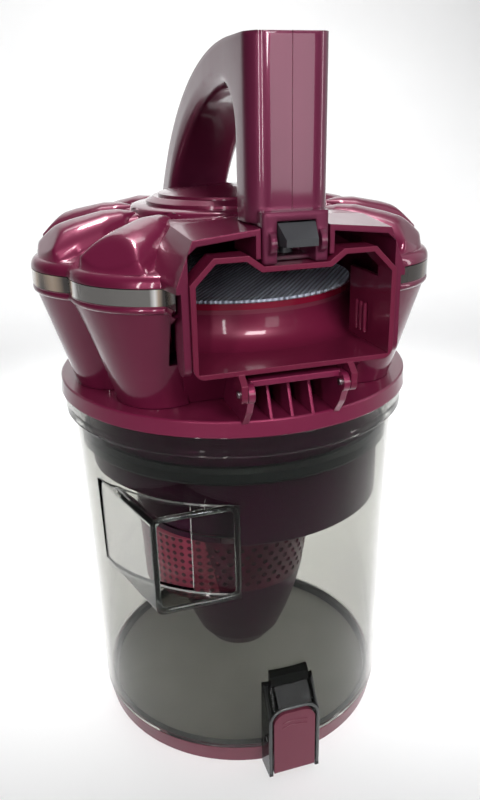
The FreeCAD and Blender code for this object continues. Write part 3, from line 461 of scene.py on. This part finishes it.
def make_tube(name, points, radius, material, body, closed=False):
    """Thin moulded bead along a line of points."""
    data = bpy.data.curves.new(name, "CURVE")
    data.dimensions = "3D"
    data.bevel_depth = radius
    data.bevel_resolution = 4
    line = data.splines.new("POLY")
    line.points.add(len(points) - 1)
    for target, point in zip(line.points, points):
        target.co = (*point, 1.0)
    line.use_cyclic_u = closed
    add_piece(name, data, material, body)


def make_release_spring():
    """Coil spring under the release catch."""
    shape = bmesh.new()
    turns = 5
    coil = 0.0029
    wire = 0.0004
    length = 0.0089
    rings = []
    for step in range(turns * 24 + 1):
        angle = 2 * math.pi * step / 24
        height = 0.2681 + length * step / (turns * 24)
        ring = []
        for side in range(8):
            around = 2 * math.pi * side / 8
            radius = coil + wire * math.cos(around)
            ring.append(shape.verts.new((radius * math.cos(angle), -0.079 + radius * math.sin(angle),
                                         height + wire * math.sin(around))))
        rings.append(ring)
    for left, right in zip(rings, rings[1:]):
        for side in range(8):
            shape.faces.new((left[side - 1], left[side], right[side], right[side - 1]))
    shape.faces.new(rings[0])
    shape.faces.new(rings[-1])
    piece = new_piece("release_spring", shape, STEEL, "lid")
    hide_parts("catch_spring")
    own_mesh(piece)


def rounded_frame(low_x, high_x, low_z, high_z, corner, y, foot=False):
    """Points of a rounded rectangle in a plane facing the front; with foot, its lower side is left open."""
    points = []
    centres = [(high_x - corner, high_z - corner, 0), (low_x + corner, high_z - corner, 90)]
    if not foot:
        centres += [(low_x + corner, low_z + corner, 180), (high_x - corner, low_z + corner, 270)]
    if foot:
        points.append((high_x, y, low_z))
    for centre_x, centre_z, start in centres:
        for step in range(9):
            angle = math.radians(start + 90 * step / 8)
            points.append((centre_x + corner * math.cos(angle), y, centre_z + corner * math.sin(angle)))
    if foot:
        points.append((low_x, y, low_z))
    return points


def make_screen_guide(name, rows, material):
    """Wall of the shroud that swells out behind the dust inlet."""
    shape = bmesh.new()
    grid = []
    for step in range(145):
        angle = math.radians(-178 + 146 * step / 144)
        swell = math.sin(math.pi * step / 144) ** 0.8
        radius = 0.0375 + 0.0150 * swell
        grid.append([shape.verts.new(about_axis(radius + extra, angle, height)) for height, extra in rows])
    join_rows(shape, grid)
    new_piece(name, shape, material, "bin_body")


def make_grip():
    """One smooth handle from the two moulded halves, without the joint line between them."""
    shape = bmesh.new()
    for half in ("handle_left", "handle_right"):
        shape.from_mesh(nodes[half].data)
    for vertex in shape.verts:
        if abs(vertex.co.x) < 0.0002:
            vertex.co.x = 0.0
    seam = [face for face in shape.faces if all(abs(vertex.co.x) < 0.0001 for vertex in face.verts)]
    bmesh.ops.delete(shape, geom=seam, context="FACES")
    bmesh.ops.remove_doubles(shape, verts=shape.verts, dist=0.00002)
    for edge in shape.edges:
        edge.smooth = len(edge.link_faces) == 2 and edge.calc_face_angle(0.0) < math.radians(32)
    for face in shape.faces:
        face.smooth = True
    piece = add_piece("grip", to_mesh("grip", shape), GRIP, "lid")
    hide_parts("handle_left", "handle_right")


make_lid_skin()
make_lid_frame()
make_grip()
make_release_spring()
SEAM_FRONT = -0.0870
seam = [(0.0, SEAM_FRONT, 0.2860 + 0.0048 * step) for step in range(14)]
make_tube("grip_seam", seam, 0.00016, GLOSS, "lid")

# Profiles are (radius, height) about the vertical axis.
HUB_PROFILE = [(0.0492, 0.2760), (0.0485, 0.2792), (0.0478, 0.2803), (0.0468, 0.2809), (0.0400, 0.2813)]
make_lathe("hub_ring", HUB_PROFILE, GLOSS, "lid")

# Rows of the shroud's wall are (height, how far it stands outside the neck's foot).
GUIDE_ROWS = [(0.0725, -0.0050), (0.0730, 0.0), (0.0960, 0.0008), (0.1110, 0.0016)]
NECK_ROWS = [(0.1110, 0.0016), (0.1125, 0.0030), (0.1145, 0.0030), (0.1525, 0.0040)]
make_screen_guide("screen_guide", GUIDE_ROWS, SCREEN)
make_screen_guide("screen_neck", NECK_ROWS, ROSE)

FLARE_PROFILE = [(0.0611, 0.2385), (0.0613, 0.2355), (0.0620, 0.2320), (0.0635, 0.2288),
                 (0.0658, 0.2262), (0.0690, 0.2247), (0.0725, 0.2243)]
make_lathe("drum_flare", FLARE_PROFILE, PORT, "bin_body")

RIB_SIDE = 0.0397
for number, depth in enumerate((0.0660, 0.0700, 0.0740)):
    rib = [(RIB_SIDE, -depth, 0.2290), (RIB_SIDE, -depth, 0.2420)]
    make_tube("duct_rib_%d" % (number + 1), rib, 0.0009, PORT, "bin_body")

LIP_HEIGHT = 0.2480
LIP_INSET = 0.0015
lip = []
for step in range(301):
    turn = math.radians(29.5 + 301 * step / 300)
    signed = turn if turn <= math.pi else turn - 2 * math.pi
    reach = outline(signed) - LIP_INSET
    lip.append(about_axis(reach, turn, LIP_HEIGHT))
make_tube("crown_lip", lip, 0.0017, GLOSS, "bin_body")

mouth = rounded_frame(-0.0620, -0.0238, 0.1083, 0.1557, 0.0042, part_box("inlet_duct")[0][1] + 0.0010)
make_tube("inlet_rim", mouth, 0.0014, CLEAR_EDGE, "bin_body", closed=True)

arch = rounded_frame(-0.0127, 0.0127, 0.0055, 0.0447, 0.0075, -0.0926, foot=True)
make_tube("latch_arch", arch, 0.0009, SMOKE_EDGE, "bin_body")

TAB_FRONT = -0.09345
MARK_HALF_WIDTH = 0.0065
MARK_RISE = 0.0010
for number, height in enumerate((0.0362, 0.0335)):
    mark = [(MARK_HALF_WIDTH * share / 6, TAB_FRONT, height + MARK_RISE * (1 - (share / 6) ** 2))
            for share in range(-6, 7)]
    make_tube("tab_mark_%d" % (number + 1), mark, 0.0003, MATT, "door_latch")


# ---------------------------------------------------------------- floor, light and camera

def make_studio():
    """Pale floor that curves up into a pale wall behind the object."""
    mesh = bpy.data.meshes.new("floor")
    shape = bmesh.new()
    section = [(-2.5, 0.0), (1.0, 0.0)]
    for step in range(1, 10):
        turn = math.radians(step * 10)
        section.append((1.0 + 0.7 * math.sin(turn), 0.7 - 0.7 * math.cos(turn)))
    section.append((1.7, 3.0))
    rails = [[shape.verts.new((x, y, z - 0.0003)) for y, z in section] for x in (-2.5, 3.0)]
    for index in range(len(section) - 1):
        face = shape.faces.new((rails[0][index], rails[1][index], rails[1][index + 1], rails[0][index + 1]))
        face.smooth = True
    shape.to_mesh(mesh)
    shape.free()
    floor = bpy.data.objects.new("floor", mesh)
    scene.collection.objects.link(floor)
    paint = Paint("floor_paper")
    paint.colour(paint.noise(3.0), [(0.3, (0.90, 0.90, 0.90)), (0.7, (0.93, 0.93, 0.93))])
    paint.set(Roughness=0.9, Specular_IOR_Level=0.1)
    mesh.materials.append(paint.material)
    return floor


def area_light(name, place, target, width, height, power, spread=180.0, lit=None, shade=None):
    """Rectangular lamp; lit and shade limit what it lights and what casts its shadows."""
    lamp = bpy.data.lights.new(name, "AREA")
    lamp.shape = "RECTANGLE"
    lamp.size = width
    lamp.size_y = height
    lamp.energy = power
    lamp.spread = math.radians(spread)
    holder = bpy.data.objects.new(name, lamp)
    holder.location = place
    aim = (Vector(target) - Vector(place)).to_track_quat("-Z", "Y")
    holder.rotation_euler = aim.to_euler()
    scene.collection.objects.link(holder)
    if lit:
        holder.light_linking.receiver_collection = lit
    if shade:
        holder.light_linking.blocker_collection = shade


def make_world():
    """Dim room: dark in front of the object and below, brighter behind it and overhead."""
    world = bpy.data.worlds.new("studio")
    world.use_nodes = True
    tree = world.node_tree
    coords = tree.nodes.new("ShaderNodeTexCoord")
    slant = tree.nodes.new("ShaderNodeVectorMath")
    slant.operation = "DOT_PRODUCT"
    slant.inputs[1].default_value = (0.6, 0.45, 0.6)
    ramp = tree.nodes.new("ShaderNodeValToRGB")
    ramp.color_ramp.elements[0].position = 0.15
    ramp.color_ramp.elements[0].color = (0.035, 0.034, 0.033, 1.0)
    ramp.color_ramp.elements[1].position = 0.85
    ramp.color_ramp.elements[1].color = (0.75, 0.76, 0.78, 1.0)
    tree.links.new(coords.outputs["Generated"], slant.inputs[0])
    tree.links.new(slant.outputs["Value"], ramp.inputs["Fac"])
    background = tree.nodes["Background"]
    tree.links.new(ramp.outputs["Color"], background.inputs["Color"])
    background.inputs["Strength"].default_value = 0.8
    backdrop = tree.nodes.new("ShaderNodeBackground")
    backdrop.inputs["Color"].default_value = (0.86, 0.87, 0.88, 1.0)
    path = tree.nodes.new("ShaderNodeLightPath")
    seen = tree.nodes.new("ShaderNodeMath")
    seen.operation = "MAXIMUM"
    tree.links.new(path.outputs["Is Camera Ray"], seen.inputs[0])
    tree.links.new(path.outputs["Is Transmission Ray"], seen.inputs[1])
    mix = tree.nodes.new("ShaderNodeMixShader")
    tree.links.new(seen.outputs["Value"], mix.inputs["Fac"])
    tree.links.new(background.outputs["Background"], mix.inputs[1])
    tree.links.new(backdrop.outputs["Background"], mix.inputs[2])
    tree.links.new(mix.outputs["Shader"], tree.nodes["World Output"].inputs["Surface"])
    scene.world = world


def make_camera():
    data = bpy.data.cameras.new("camera")
    data.lens = 33.44
    data.sensor_width = 36.0
    data.sensor_fit = "VERTICAL"
    data.sensor_height = 36.0
    data.clip_start = 0.01
    camera = bpy.data.objects.new("camera", data)
    scene.collection.objects.link(camera)
    eye = Vector((-0.1076, -0.3632, 0.3208))
    aim = Vector((0.0034, -0.0010, 0.1749))
    facing = (aim - eye).to_track_quat("-Z", "Y")
    roll = Matrix.Rotation(math.radians(-1.32), 4, "Z")
    camera.matrix_world = Matrix.Translation(eye) @ facing.to_matrix().to_4x4() @ roll
    scene.camera = camera


floor = make_studio()
make_world()
object_only = bpy.data.collections.new("lit_object_only")
object_only.objects.link(floor)
object_only.collection_objects[0].light_linking.link_state = "EXCLUDE"
floor_only = bpy.data.collections.new("lit_floor_only")
floor_only.objects.link(floor)
area_light("key", (0.15, -1.35, 1.15), (0, 0, 0.2), 0.45, 0.35, 21, lit=object_only)
area_light("strip_left", (-0.80, -1.00, 0.62), (0, -0.05, 0.24), 0.07, 0.9, 6.0, lit=object_only)
area_light("strip_front", (-0.52, -1.22, 0.62), (0, -0.05, 0.24), 0.05, 0.9, 4.5, lit=object_only)
area_light("panel", (0.46, -1.3, 0.42), (0, 0, 0.32), 0.30, 0.5, 2.2, lit=object_only)
area_light("right", (1.1, -0.35, 0.6), (0, 0, 0.2), 0.12, 0.9, 2.6, lit=object_only)
area_light("top", (0.12, 0.38, 1.9), (0.0, 0.0, 0.2), 0.4, 0.4, 1.6, 40.0, lit=object_only)
area_light("table", (0.08, 0.22, 1.9), (0.08, 0.22, 0.0), 0.3, 0.3, 1.8, 30.0, lit=floor_only,
           shade=floor_only)
area_light("wall", (0.3, 0.9, 2.3), (0.45, 1.65, 0.5), 1.6, 0.4, 22, 110.0)
make_camera()
scene.view_settings.view_transform = "Standard"
